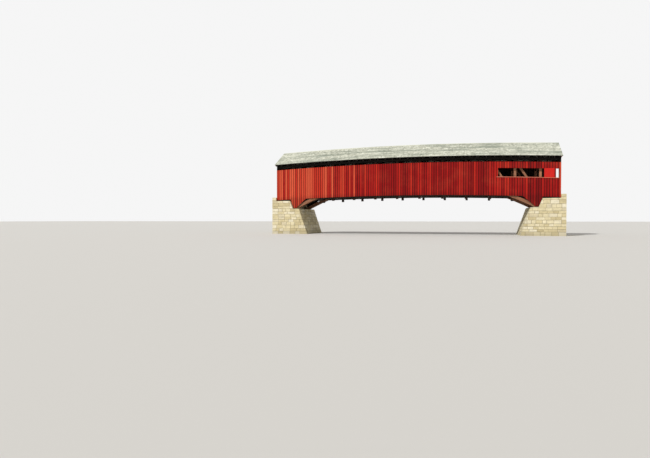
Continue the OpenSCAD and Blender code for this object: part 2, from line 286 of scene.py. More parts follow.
def closeFinish(tree, base, rough, height, strength, depth, shine=0.5, metallic=0.0):
    bump = addNode(tree, "ShaderNodeBump", {"Strength": strength, "Distance": depth}, {"Height": height})
    shader = addNode(tree, "ShaderNodeBsdfPrincipled", {"Metallic": metallic, "Specular IOR Level": shine},
                     {"Base Color": base, "Roughness": rough, "Normal": bump})
    addNode(tree, "ShaderNodeOutputMaterial", None, {"Surface": shader})


def blended(tree, a, b, factor, how="MIX"):  # two colours mixed; each is a hex code or a node's outlet
    settings, links = {"data_type": "RGBA", "blend_type": how}, {}
    for place, value in ((6, a), (7, b)):
        if isinstance(value, str):
            settings[place] = colour(value)
        else:
            links[place] = value
    if isinstance(factor, (int, float)):
        settings[0] = factor
    else:
        links[0] = factor
    return addNode(tree, "ShaderNodeMix", settings, links), 2


def written(tree, name, outlet="Fac"):  # a value that the mesh carries
    return addNode(tree, "ShaderNodeAttribute", {"attribute_name": name}), outlet


def objectPlace(tree):
    return addNode(tree, "ShaderNodeTexCoord"), "Object"


def mottle(tree, place, scale, detail, rough=0.5, twist=0.0):
    # noise; scale is one number of cells a metre, or one along and two across the grain
    if isinstance(scale, tuple):
        place = addNode(tree, "ShaderNodeMapping", {"Scale": scale}, {"Vector": place})
        scale = 1.0
    return addNode(tree, "ShaderNodeTexNoise",
                   {"Scale": scale, "Detail": detail, "Roughness": rough, "Distortion": twist},
                   {"Vector": place})


def ramp(tree, source, *stops):
    return addNode(tree, "ShaderNodeValToRGB", {"stops": list(stops)}, {"Fac": source})


def ranged(tree, source, low, high, start=0.0, end=1.0):  # from low at start to high at end
    return addNode(tree, "ShaderNodeMapRange",
                   {"From Min": start, "From Max": end, "To Min": low, "To Max": high}, {"Value": source})


def maths(tree, operation, *values):
    settings, links = {"operation": operation}, {}
    for place, value in enumerate(values):
        (settings if isinstance(value, (int, float)) else links)[place] = value
    return addNode(tree, "ShaderNodeMath", settings, links)


# Finishes

def sawnTimber(name, look, paintedShadeColour="#17110C"):
    # Sawn softwood: long growth streaks, 4 mm fibres, drying cracks along the grain, greyed where aired
    finish, tree = newFinish(name)
    grain, spot = written(tree, "grain", "Vector"), objectPlace(tree)
    streak = mottle(tree, grain, (1.3, 30, 30), detail=6.0, rough=0.62, twist=0.5)
    streakTone = ramp(tree, streak, *look["streaks"])
    fibre = mottle(tree, grain, (8, 250, 250), detail=3.0, rough=0.6)
    fibreTone = ramp(tree, fibre, (0.3, 0.72), (0.7, 1.0))
    crack = mottle(tree, grain, (0.8, 17, 17), detail=2.0, twist=0.2)
    crackLine = ramp(tree, crack, (0.475, 1.0), (0.492, 0.25), (0.5, 0.25), (0.517, 1.0))
    patch = mottle(tree, spot, 0.9, detail=4.0, rough=0.65)
    aired = ramp(tree, patch, (0.38, 0.0), (0.68, look["greying"]))
    base = blended(tree, streakTone, look["grey"], aired)
    base = blended(tree, base, fibreTone, 0.8, "MULTIPLY")
    base = blended(tree, base, crackLine, 0.75, "MULTIPLY")
    value = ranged(tree, written(tree, "tone"), 0.72, 1.22)  # timbers differ
    base = addNode(tree, "ShaderNodeHueSaturation", None, {"Color": base, "Value": value})
    # painted shade: near black where the mesh marks it, at the posts' feet under the floor
    base = blended(tree, base, paintedShadeColour, written(tree, "damp"))
    if "shadeAbove" in look:  # painted shade under the roof, darker above a line that follows the camber
        level = addNode(tree, "ShaderNodeSeparateXYZ", None, {"Vector": spot})
        squared = maths(tree, "MULTIPLY", (level, "X"), (level, "X"))
        risen = maths(tree, "MULTIPLY_ADD", squared, camberFall, (level, "Z"))
        roofShade = ranged(tree, risen, 0.0, 0.9, look["shadeAbove"], look["shadeAbove"] + look["shadeFade"])
        base = blended(tree, base, paintedShadeColour, roofShade)
    rough = ranged(tree, streak, 0.9, 0.62)
    relief = maths(tree, "MULTIPLY", fibreTone, crackLine)
    closeFinish(tree, base, rough, relief, strength=0.55, depth=0.004, shine=0.25)
    return finish


def paintedBoards(name, look):
    # Barn paint on sawn boards: chalked and faded board by board, streaked by rain, bare wood where it
    # wore; painted shade darkens the board edges by the joints, and on the near wall the tone carries
    # painted sunlight
    finish, tree = newFinish(name)
    grain, spot = written(tree, "grain", "Vector"), objectPlace(tree)
    boardTone = ramp(tree, written(tree, "tone"), *look["boards"])
    streak = mottle(tree, grain, (0.7, 26, 26), detail=5.0, rough=0.65)
    base = blended(tree, boardTone, ramp(tree, streak, (0.35, 0.62), (0.6, 1.0)), 0.7, "MULTIPLY")
    patch = mottle(tree, spot, 0.55, detail=4.0, rough=0.6)
    base = blended(tree, base, look["chalk"], ramp(tree, patch, (0.45, 0.0), (0.75, look["chalking"])))
    height = addNode(tree, "ShaderNodeSeparateXYZ", None, {"Vector": grain})
    splash = maths(tree, "MULTIPLY", ranged(tree, height, 0.55, 0.0, 0.0, 0.45), streak)
    base = blended(tree, base, look["grimeAndShade"], splash)
    if "edgeDirtAndShade" in look:  # paint goes first, and dirt stays, along the edges of each board; the strong darkening there is also painted shade beside the joints
        fromMiddle = maths(tree, "ABSOLUTE", maths(tree, "SUBTRACT", written(tree, "across"), 0.5))
        ragged = maths(tree, "MULTIPLY_ADD", streak, 0.16, fromMiddle)  # the streaks roughen the line
        base = blended(tree, base, look["grimeAndShade"], ranged(tree, ragged, 0.0, look["edgeDirtAndShade"], 0.435, 0.565))
    wear = mottle(tree, grain, (2.2, 60, 60), detail=4.0, rough=0.7)
    worn = ramp(tree, wear, (0.66, 0.0), (0.72, look["wear"]))
    base = blended(tree, base, look["bare"], worn)
    fibre = mottle(tree, grain, (9, 240, 240), detail=3.0)
    relief = maths(tree, "SUBTRACT", fibre, worn)
    rough = ranged(tree, streak, 0.62, 0.88)
    closeFinish(tree, base, rough, relief, strength=0.4, depth=0.003, shine=0.12)
    return finish


def weatheredShingles(name, look):
    # Split shingles gone silver in the sun: pale crowns, wet streaks along the courses, some lichen
    finish, tree = newFinish(name)
    grain, spot = written(tree, "grain", "Vector"), objectPlace(tree)
    own = ramp(tree, written(tree, "tone"), *look["shingles"])
    streak = mottle(tree, grain, (2.5, 55, 55), detail=5.0, rough=0.65)
    streaked = ramp(tree, streak, (0.3, 0.74), (0.62, 1.0))
    base = blended(tree, own, streaked, 0.75, "MULTIPLY")
    wet = mottle(tree, spot, (0.22, 1.6, 1.6), detail=5.0, rough=0.7)
    base = blended(tree, base, look["wet"], ramp(tree, wet, (0.46, 0.0), (0.62, 0.75)))
    lichen = mottle(tree, spot, 6.0, detail=5.0, rough=0.7)
    base = blended(tree, base, look["lichen"], ramp(tree, lichen, (0.64, 0.0), (0.72, 0.4)))
    rough = ranged(tree, streak, 0.92, 0.7)
    closeFinish(tree, base, rough, streaked, strength=0.6, depth=0.004, shine=0.3)
    return finish


def fieldStone(name, stones, damp):
    # Split sandstone: each stone its own shade, grainy, bedded in faint layers, darker by the water
    finish, tree = newFinish(name)
    spot = objectPlace(tree)
    own = ramp(tree, written(tree, "tone"), *stones)
    cloud = mottle(tree, spot, 3.5, detail=8.0, rough=0.68)
    base = blended(tree, own, ramp(tree, cloud, (0.3, 0.74), (0.65, 1.0)), 0.8, "MULTIPLY")
    bed = mottle(tree, spot, (0.6, 0.6, 16), detail=4.0)
    base = blended(tree, base, ramp(tree, bed, (0.4, 0.82), (0.6, 1.0)), 0.6, "MULTIPLY")
    grit = ramp(tree, mottle(tree, spot, 45.0, detail=4.0, rough=0.7), (0.3, 0.86), (0.7, 1.0))
    base = blended(tree, base, grit, 0.7, "MULTIPLY")
    level = addNode(tree, "ShaderNodeSeparateXYZ", None, {"Vector": spot})
    wet = maths(tree, "MULTIPLY", ranged(tree, (level, "Z"), 0.75, 0.0, 0.1, 0.7), cloud)
    base = blended(tree, base, damp, wet)
    rough = ranged(tree, cloud, 0.95, 0.75)
    closeFinish(tree, base, rough, maths(tree, "ADD", cloud, grit), strength=0.7, depth=0.012)
    return finish


def wroughtIron(name):
    # Old bolts and nails: dark scale with rust coming through
    finish, tree = newFinish(name)
    rust = mottle(tree, objectPlace(tree), 60.0, detail=5.0)
    shade = ramp(tree, rust, (0.35, "#2B2623"), (0.55, "#4A2F22"), (0.72, "#6B3B22"))
    rough = ranged(tree, rust, 0.55, 0.9)
    closeFinish(tree, shade, rough, rust, strength=0.5, depth=0.002, metallic=0.35)
    return finish


finishes = {
    # painted shade: the timbers under the floor are dark old wood, darkened further to near black as the
    # shade beneath the bridge
    "floor": sawnTimber("oakFloorTimberPaintedShade", {
        "streaks": [(0.3, "#1F1813"), (0.55, "#30261E"), (0.75, "#43362B")],
        "grey": "#3F3932", "greying": 0.4}),
    "truss": sawnTimber("pineTrussTimber", {
        "streaks": [(0.3, "#7A4C35"), (0.52, "#AD7453"), (0.75, "#CE9670")],
        # painted shade: truss timbers darken towards the roof from 7.9 m up, as the shade under it
        "grey": "#8C7361", "greying": 0.35, "shadeAbove": 7.9, "shadeFade": 0.25}),
    # painted shade: the timbers under the roof are painted near black, far darker than pine, as the shade
    # beneath it
    "roof": sawnTimber("pineRoofTimberPaintedShade", {
        "streaks": [(0.3, "#140E09"), (0.52, "#201710"), (0.75, "#2E2318")],
        "grey": "#27211B", "greying": 0.4}),
    "deck": sawnTimber("wornDeckPlank", {
        "streaks": [(0.3, "#5E5347"), (0.55, "#85776A"), (0.75, "#A09384")],
        "grey": "#98928A", "greying": 0.7}),
    "boards": paintedBoards("barnRedBoard", {
        # the top stop, light orange, is reached only through the painted sunlight on the near wall
        "boards": [(0.0, "#760B0C"), (0.35, "#98100F"), (0.6, "#B01B15"), (0.8, "#C42D1C"),
                   (1.0, "#E25D3E")],
        "chalk": "#C74A32", "chalking": 0.3, "grimeAndShade": "#2C0A09", "bare": "#7D6355", "wear": 0.4,
        "edgeDirtAndShade": 0.95}),
    # painted shade: the raw board backs are darkened further, as the shade inside the bridge
    "inner": sawnTimber("rawBoardBackPaintedShade", {
        "streaks": [(0.3, "#241B14"), (0.55, "#372A1F"), (0.75, "#4B3B2C")],
        "grey": "#443C34", "greying": 0.4}),
    # painted shade: the strips behind the joints are near black, as the shade in the gaps between the
    # boards
    "joints": paintedBoards("jointPaintedShade", {
        "boards": [(0.0, "#1C0807"), (1.0, "#2B0C0A")],
        "chalk": "#33100D", "chalking": 0.3, "grimeAndShade": "#150807", "bare": "#33241C", "wear": 0.3}),
    "trim": paintedBoards("barnRedTrim", {
        "boards": [(0.0, "#C4391F"), (0.5, "#D44E2D"), (1.0, "#E0643C")],
        "chalk": "#DE7856", "chalking": 0.4, "grimeAndShade": "#5A1C13", "bare": "#A08A76", "wear": 0.35}),
    "sill": paintedBoards("sunBleachedSill", {
        "boards": [(0.0, "#C8654E"), (0.5, "#D67A62"), (1.0, "#DF8E77")],
        "chalk": "#E4A592", "chalking": 0.45, "grimeAndShade": "#6E2A1F", "bare": "#B09C8A", "wear": 0.5}),
    "panel": paintedBoards("freshRedShutter", {
        "boards": [(0.0, "#C91F1A"), (0.5, "#D62822"), (1.0, "#E0362E")],
        "chalk": "#E0504A", "chalking": 0.3, "grimeAndShade": "#6E1510", "bare": "#A08670", "wear": 0.1}),
    "shingles": weatheredShingles("silveredShingle", {
        "shingles": [(0.0, "#AEAF9F"), (0.35, "#C9C9B8"), (0.75, "#DCDCCB"), (1.0, "#ECECDD")],
        "wet": "#868D7E", "lichen": "#9CA58A"}),
    "stone": fieldStone("splitSandstone", [
        (0.0, "#D3C396"), (0.3, "#E6D7AA"), (0.6, "#F1E4BC"), (0.85, "#F8EED0"),
        (1.0, "#DCCDA6")], "#6B6048"),
    "mortar": fieldStone("limeMortar", [(0.0, "#A39574"), (1.0, "#B5A786")], "#5E553F"),
    "iron": wroughtIron("wroughtIron"),
}
print("finishes mixed:", len(finishes))


# Sawn timbers, each the CAD solid with eased edges

timbers = {  # node: finish, slot, eased edge in metres, grain direction where its length doesn't tell
    "bed_timbers": ("floor", "floor_timber", 0.012, None),
    "bottom_chord_near": ("floor", "floor_timber", 0.010, None),
    "bottom_chord_far": ("floor", "floor_timber", 0.010, None),
    "floor_beams": ("floor", "floor_timber", 0.012, None),
    "floor_bracing_low": ("floor", "floor_timber", 0.006, None),
    "floor_bracing_high": ("floor", "floor_timber", 0.006, None),
    "stringers": ("floor", "floor_timber", 0.008, None),
    "wheel_guards": ("deck", "deck_timber", 0.018, None),
    "posts_near": ("truss", "truss_timber", 0.010, (0, 0, 1)),
    "posts_far": ("truss", "truss_timber", 0.010, (0, 0, 1)),
    "braces_near": ("truss", "truss_timber", 0.010, None),
    "braces_far": ("truss", "truss_timber", 0.010, None),
    "top_chord_near": ("roof", "truss_timber", 0.010, None),
    "top_chord_far": ("roof", "truss_timber", 0.010, None),
    "tie_beams": ("roof", "roof_timber", 0.010, None),
    "tie_bracing_low": ("roof", "roof_timber", 0.006, None),
    "tie_bracing_high": ("roof", "roof_timber", 0.006, None),
    "knee_braces": ("roof", "roof_timber", 0.008, None),
    "plate_near": ("roof", "roof_timber", 0.008, None),
    "plate_far": ("roof", "roof_timber", 0.008, None),
    "rafters_near": ("roof", "roof_timber", 0.006, None),
    "rafters_far": ("roof", "roof_timber", 0.006, None),
    "roof_lath": ("roof", "roof_timber", 0.003, None),
    "rails_near": ("roof", "rail_timber", 0.005, (1, 0, 0)),
    "rails_far": ("roof", "rail_timber", 0.005, (1, 0, 0)),
    "window_sill": ("sill", "trim", 0.008, None),
    "corner_boards": ("trim", "trim", 0.005, (0, 0, 1)),
    "portal_trim_left": ("trim", "trim", 0.005, None),
    "portal_trim_right": ("trim", "trim", 0.005, None),
}
shadedFeet = {"above": 0.05, "share": 0.92}  # painted shade: posts are painted black from just above the chord's underside down, as the shade under the floor
for count, (node, (kind, slot, edge, direction)) in enumerate(timbers.items()):
    timber = nodeCopy(node, node + "_dressed", node.startswith("rails"))
    easedEdges(timber, edge)
    timberGrain(timber, 100 + count, direction)
    if node.startswith("posts"):
        where = points(timber)
        low = where[:, 2] - camberAt(where[:, 0]) < bridge["chordUnder"] + shadedFeet["above"]
        writeValue(timber, "damp", np.where(low, shadedFeet["share"], 0.0))
    done(timber, finishes[kind], slot, node)
print("timbers dressed:", len(timbers))


# The doubled arches, in segments butted end to end

arch = {
    "crown": 6.50,  # underside at mid-span
    "k": 0.0190,  # fall at x is k times x squared
    "depth": 0.34,  # of a rib, upright
    "inner": 2.00,  # face towards the road
    "outer": 2.62,  # face towards the boards
    "rib": 0.17,  # thickness across the bridge
    "innerSeams": (-11.5, -7.0, -2.3, 2.3, 7.0, 11.5),
    "outerSeams": (-9.3, -4.7, 0.0, 4.7, 9.3),
    "seam": 0.005,  # width of the saw cut
    "seamPast": 0.03,  # how far the saw reaches past a rib's faces
    "seamTall": 0.5,
    "edge": 0.010,
}


def archLevel(x):  # middle of the ribs at x
    return arch["crown"] - arch["k"] * x * x + arch["depth"] / 2


for side, sign in (("near", -1), ("far", 1)):
    ribs = nodeCopy("arch_" + side, "arch_" + side + "_dressed")
    seams = []
    for start, places in ((arch["inner"], arch["innerSeams"]),
                          (arch["outer"] - arch["rib"], arch["outerSeams"])):
        reach = sorted(sign * y for y in (start - arch["seamPast"], start + arch["rib"] + arch["seamPast"]))
        for x in places:
            seam = block("seam", (-arch["seam"] / 2, reach[0], -arch["seamTall"]),
                         (arch["seam"] / 2, reach[1], arch["seamTall"]))
            only(seam)
            seam.rotation_euler = (0, math.atan(2 * arch["k"] * x), 0)
            seam.location = (x, 0, archLevel(x))
            seams.append(settled(seam))
    cutTo(ribs, joined(seams, "seams"), "DIFFERENCE")
    easedEdges(ribs, arch["edge"])
    rng = np.random.default_rng(7)
    where, label = points(ribs), islands(ribs)
    offset = rng.uniform(-pattern["shift"], pattern["shift"], (label.max() + 1, 2))
    shade = rng.uniform(size=label.max() + 1)
    lengthAlong = where[:, 0] * np.sqrt(1 + (arch["k"] * where[:, 0]) ** 2)
    above = where[:, 2] - arch["crown"] + arch["k"] * where[:, 0] ** 2
    writeGrain(ribs, lengthAlong + offset[label, 0], above + offset[label, 1], where[:, 1], shade[label])
    done(ribs, finishes["truss"], "truss_timber", "arch_" + side)
print("arches segmented")


# Board walls

boards = {
    "pitch": 0.2667,
    "gap": 0.022,
    "thick": 0.020,
    "inset": 0.0028,  # from the CAD wall's face, so that the most proud board stays inside it
    "edge": 0.003,
    "lower": 4.50,  # lower edge at mid-span
    "proud": 0.005,  # how far boards stand unevenly
    "wander": 0.5,  # share of the gap by which boards stray sideways
    "stripWidth": 0.06,  # of the dark strips behind the joints
    "stripThick": 0.007,
    "stripOff": 0.0005,  # from the CAD wall's back
    "wideJoint": 9.6,  # a wider joint by the long window
    "wideBy": 0.014,
    "wideReach": 0.012,
    "paintedSunlight": 0.5,  # painted sunlight: the near wall's left third is painted lighter and more orange, as where the sun fell on it
    "paintedSunlightFrom": -4,  # the painted sunlight starts here and grows towards -X
    "paintedSunlightOver": 6,
    # random tones stop at this share, so that the lightest board colours come only from the painted
    # sunlight
    "toneShare": 0.8,
    "toneSpread": (2.2, 2.4),  # most boards are near the middle tone
    "most": 401,  # boards a wall may have
    "spare": 0.1,  # how far boards reach past the wall's outline before they are cut to it
    "cutReach": 0.02,  # how far the cutter stands past both faces
}


def boardWall(name, low, high, along, gap, edge, seed):
    # boards standing side by side between two corners; along is 0 for X or 1 for Y
    rng = np.random.default_rng(seed)
    reach = high[along] - low[along]
    count = max(1, round(reach / boards["pitch"]))
    pitch = reach / count
    first = list(high)
    first[along] = low[along] + pitch - gap
    wall = block(name, low, first)
    easedEdges(wall, edge)
    each = len(wall.data.vertices)
    step = [0, 0, 0]
    step[along] = pitch
    repeated(wall, count, step)
    where = points(wall).reshape(count, each, 3)
    where[:, :, 1 - along] += rng.uniform(-0.5, 0.5, (count, 1)) * boards["proud"]
    where[:, :, along] += rng.uniform(-0.5, 0.5, (count, 1)) * gap * boards["wander"]
    setPoints(wall, where.reshape(-1, 3))
    return wall, pitch


def jointStrips(name, low, high, along, pitch):
    # a dark strip behind each joint, so that no light shows between the boards; its near-black finish is
    # painted shade in the gaps
    start, end = list(low), list(high)
    start[along] = low[along] + pitch - (boards["gap"] + boards["stripWidth"]) / 2
    end[along] = start[along] + boards["stripWidth"]
    strips = block(name, start, end)
    step = [0, 0, 0]
    step[along] = pitch
    return repeated(strips, round((high[along] - low[along]) / pitch) - 1, step)


def boardGrain(wall, along, start, pitch, seed, lower, paintedLight=0.0):
    # height above the lower edge runs along the grain, so that stains can follow it
    rng = np.random.default_rng(seed)
    where, label = points(wall), islands(wall)
    count, most = label.max() + 1, boards["most"]
    across, depth = where[:, along], where[:, 1 - along]
    first, end = np.full(count, np.inf), np.full(count, -np.inf)
    np.minimum.at(first, label, across)
    np.maximum.at(end, label, across)
    which = np.clip((((first + end) / 2 - start) / pitch).astype(int), 0, most - 1)[label]
    offset = rng.uniform(-pattern["shift"], pattern["shift"], (most, 2))
    shade = rng.beta(*boards["toneSpread"], most)
    height = where[:, 2] - lower - camberAt(where[:, 0])
    # painted sunlight: towards -X the tone rises, lighter and more orange as where the sun fell
    sunlitShare = np.clip((boards["paintedSunlightFrom"] - where[:, 0]) / boards["paintedSunlightOver"], 0, 1)
    toneWithPaintedLight = np.clip(boards["toneShare"] * shade[which] + paintedLight * sunlitShare, 0, 1)
    writeGrain(wall, height, across + offset[which, 0], depth + offset[which, 1], toneWithPaintedLight)
    writeValue(wall, "across", (across - first[label]) / (end - first)[label])


def rawBacks(wall, axis, sign):
    # the side that faces the road was never painted; its raw wood is darkened further as painted shade
    # inside the bridge
    wall.data.materials.append(finishes["inner"])
    for face in wall.data.polygons:
        face.material_index = int(face.normal[axis] * sign < -0.5)


def wallCutter(node, axis, inner, outer):
    # the CAD wall's outline with its openings, reaching from inner to outer along one axis
    cutter = nodeCopy(node, "cutter", True)
    shape = points(cutter)
    middle = np.mean([corner[axis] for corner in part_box(node)])
    further = np.abs(shape[:, axis]) > abs(middle)
    shape[:, axis] = np.where(further, outer, inner)
    setPoints(cutter, shape)
    return cutter


def boardedWall(node, name, axis, sign, seed, paintedLight=0.0, wideJoint=None):
    # boards outside, strips behind their joints; axis is the one that the wall is thin along
    along = 1 - axis
    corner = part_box(node)
    face = sign * max(abs(corner[0][axis]), abs(corner[1][axis]))
    back = sign * min(abs(corner[0][axis]), abs(corner[1][axis]))
    inset, off = boards["inset"], boards["stripOff"]
    layers = {"boards": (face - sign * inset, face - sign * (inset + boards["thick"])),
              "joints": (back + sign * off, back + sign * (off + boards["stripThick"]))}
    for kind, (a, b) in layers.items():
        low, high = list(corner[0]), list(corner[1])
        low[axis], high[axis] = min(a, b), max(a, b)
        low[2] -= boards["spare"]
        high[2] += boards["spare"]
        if kind == "boards":
            wall, pitch = boardWall(name, low, high, along, boards["gap"], boards["edge"], seed)
            if wideJoint is not None:
                where = points(wall)
                edge = np.abs(where[:, 0] - wideJoint + boards["gap"]) < boards["wideReach"]
                where[:, 0] -= edge * boards["wideBy"]
                setPoints(wall, where)
        else:
            wall = jointStrips(name + "_joints", low, high, along, pitch)
        reach = sign * boards["cutReach"]
        cutTo(wall, wallCutter(node, axis, back - reach, face + reach))
        boardGrain(wall, along, corner[0][along], pitch, seed + 10, boards["lower"], paintedLight)
        if kind == "boards":
            done(wall, finishes["boards"], "red_boards", node)
            rawBacks(wall, axis, sign)
        else:
            done(wall, finishes["joints"], "red_boards")


boardedWall("siding_near", "boards_near", 1, -1, 3, boards["paintedSunlight"], boards["wideJoint"])
boardedWall("siding_far", "boards_far", 1, 1, 4)
boardedWall("portal_left", "boards_portal_left", 0, -1, 20)
boardedWall("portal_right", "boards_portal_right", 0, 1, 22)
print("board walls stand")


# Nails in the boards, bolts where the posts cross the arches and chords

iron = {
    "nailHead": 0.006,  # radius, as for bolts and washers
    "nailOut": 0.0025,
    "nailRoot": 0.0028,  # how deep a head sits in its board, however unevenly that stands
    "nailSides": 6,
    "nailIn": 0.045,  # from the board's edge
    "nailLevels": (4.86, 6.445, 8.04),
    "boltHead": 0.017,
    "boltOut": 0.016,
    "boltSides": 6,
    "washer": 0.036,
    "washerThick": 0.006,
    "washerSides": 16,
    "apart": 0.075,  # of each bolt from the middle of its crossing
    "boltedPosts": 5,  # on either side of mid-span
    "chordLevel": 4.67,
    "chordFaces": ((2.53, 1), (2.09, -1)),  # place across, and which way the heads point
    "chordEnd": 11,  # beyond this the arches cover the chords
    "railLevels": (4.86, 6.48, 8.04),
    "clearOfRail": 0.1,  # an outer bolt nearer to a rail than this is left out
}


def studs(name, radius, length, sides, places, outward):
    # one short cylinder copied to every place, its axis along Y; outward is -1 or 1
    clearSelection()
    bpy.ops.mesh.primitive_cylinder_add(vertices=sides, radius=radius, depth=length,
                                        rotation=(math.pi / 2, 0, 0))
    stud = settled(bpy.context.object)
    stud.name = stud.data.name = name
    each = len(stud.data.vertices)
    repeated(stud, len(places), (1, 0, 0))
    where = points(stud).reshape(len(places), each, 3)
    where[:, :, 0] -= np.arange(len(places))[:, None]
    where += np.array(places)[:, None, :]
    where[:, :, 1] += outward * length / 2
    setPoints(stud, where.reshape(-1, 3))
    return stud


def nailPlaces(side, sign):  # two nails through each board into each rail
    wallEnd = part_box("siding_" + side)[1].x
    count = round(2 * wallEnd / boards["pitch"])
    pitch = 2 * wallEnd / count
    y = sign * (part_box("siding_far")[1].y - boards["inset"] - iron["nailRoot"])
    places = []
    for i in range(count):
        left = -wallEnd + i * pitch
        for x in (left + iron["nailIn"], left + pitch - boards["gap"] - iron["nailIn"]):
            places += [(x, y, level + camberLine(x)) for level in iron["nailLevels"]]
    return places


def boltPlaces(sign):  # with the way that each head points
    places = []
    for post in range(-iron["boltedPosts"], iron["boltedPosts"]):
        x = (post + 0.5) * bridge["panel"]
        for face, outward in ((arch["outer"], 1), (arch["inner"], -1)):
            for level in (archLevel(x) - iron["apart"], archLevel(x) + iron["apart"]):
                fromRail = min(abs(level - camberLine(x) - rail) for rail in iron["railLevels"])
                if outward < 0 or fromRail > iron["clearOfRail"]:
                    places.append((x, sign * face, level, sign * outward))
        if abs(x) < iron["chordEnd"]:
            for face, outward in iron["chordFaces"]:
                for dx in (-iron["apart"], iron["apart"]):
                    places.append((x + dx, sign * face, iron["chordLevel"] + camberLine(x), sign * outward))
    return places


for side, sign in (("near", -1), ("far", 1)):
    nails = studs("nails_" + side, iron["nailHead"], iron["nailOut"] + iron["nailRoot"], iron["nailSides"],
                  nailPlaces(side, sign), sign)
    done(nails, finishes["iron"], "red_boards")
    pieces = []
    for outward in (-1, 1):
        own = [place[:3] for place in boltPlaces(sign) if place[3] == outward]
        heads = [(x, y + outward * iron["washerThick"], z) for x, y, z in own]
        pieces.append(studs("washers", iron["washer"], iron["washerThick"], iron["washerSides"],
                            own, outward))
        pieces.append(studs("bolts", iron["boltHead"], iron["boltOut"], iron["boltSides"],
                            heads, outward))
    done(joined(pieces, "bolts_" + side), finishes["iron"], "truss_timber")
print("nails and bolts driven")


# The closed shutter in the window

shutterBoards = {"gap": 0.005, "edge": 0.004}
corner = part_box("window_panel")
shutter, pitch = boardWall("shutter", tuple(corner[0]), tuple(corner[1]), 0, shutterBoards["gap"],
                           shutterBoards["edge"], 5)
where = points(shutter)
where[:, 1] = np.clip(where[:, 1], corner[0].y, corner[1].y)
setPoints(shutter, where)
boardGrain(shutter, 0, corner[0].x, pitch, 6, corner[0].z)
done(shutter, finishes["panel"], "red_panel", "window_panel")
print("shutter hung")


# Deck planks

deck = {"pitch": 0.25, "gap": 0.008, "edge": 0.006, "thick": 0.07, "sunk": 0.004, "short": 0.008}
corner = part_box("deck")
reach = corner[1].x - corner[0].x
count = round(reach / deck["pitch"])
pitch = reach / count
plank = block("deck_planks", (corner[0].x + deck["gap"] / 2, corner[0].y, 0),
              (corner[0].x + pitch - deck["gap"] / 2, corner[1].y, deck["thick"]))
easedEdges(plank, deck["edge"])
each = len(plank.data.vertices)
repeated(plank, count, (pitch, 0, 0))
rng = np.random.default_rng(9)
where = points(plank).reshape(count, each, 3)
where[:, :, 2] += bridge["roadLevel"] - deck["thick"] - rng.uniform(0, deck["sunk"], (count, 1))
where[:, :, 1] *= 1 - rng.uniform(0, deck["short"], (count, 1))
where = where.reshape(-1, 3)
where[:, 2] += camberAt(where[:, 0])
setPoints(plank, where)
timberGrain(plank, 11, (0, 1, 0))
done(plank, finishes["deck"], "deck_timber", "deck")
print("deck laid:", count, "planks")


# Shingle courses

roof = {
    "exposure": 0.258,  # length of a shingle that shows
    "width": 0.165,
    "drift": 0.42,  # share of the width by which the side joints stray
    "brokenBy": 0.25,  # share of the width by which every other course is set over
    "gap": 0.005,
    "lap": 0.07,  # length that lies under the course above
    "butt": 0.024,  # thickness of the lower end
    "thinning": 0.018,  # from the butt to the tail
    "stagger": 0.016,  # how far butts lie off their line
    "lift": 0.006,  # how deep some shingles lie under the others
    "wave": 0.012,  # the courses bend by this
    "waveAlong": 0.35,
    "waveDown": 1.7,
    "waveSide": 5.0,  # gives each slope its own wave
    "toneSpread": (1.6, 1.4),
    "film": 0.002,  # least depth under the slope's surface
    "under": 0.060,  # depth of the roof's underside
    "backing": 0.036,  # depth of the layer that the shingles lie on
    "backingIn": 0.01,
    "backingShort": 0.03,
    "backingTone": 0.1,
    "sheetParts": 48,  # along the camber
    "combWidth": 0.17,
    "combThick": 0.020,
}
slope = math.radians(bridge["roofFall"])
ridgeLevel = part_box("roof_near")[1].z - camberLine(0)
slopeLength = bridge["eaveReach"] / math.cos(slope)
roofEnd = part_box("roof_near")[1].x


def onSlope(x, down, depth, sign):
    # x along the road, down the slope from the ridge, depth under its surface
    y = sign * (down * math.cos(slope) - depth * math.sin(slope))
    z = ridgeLevel + camberAt(x) - down * math.sin(slope) - depth * math.cos(slope)
    return np.stack([x, y, z], 1)


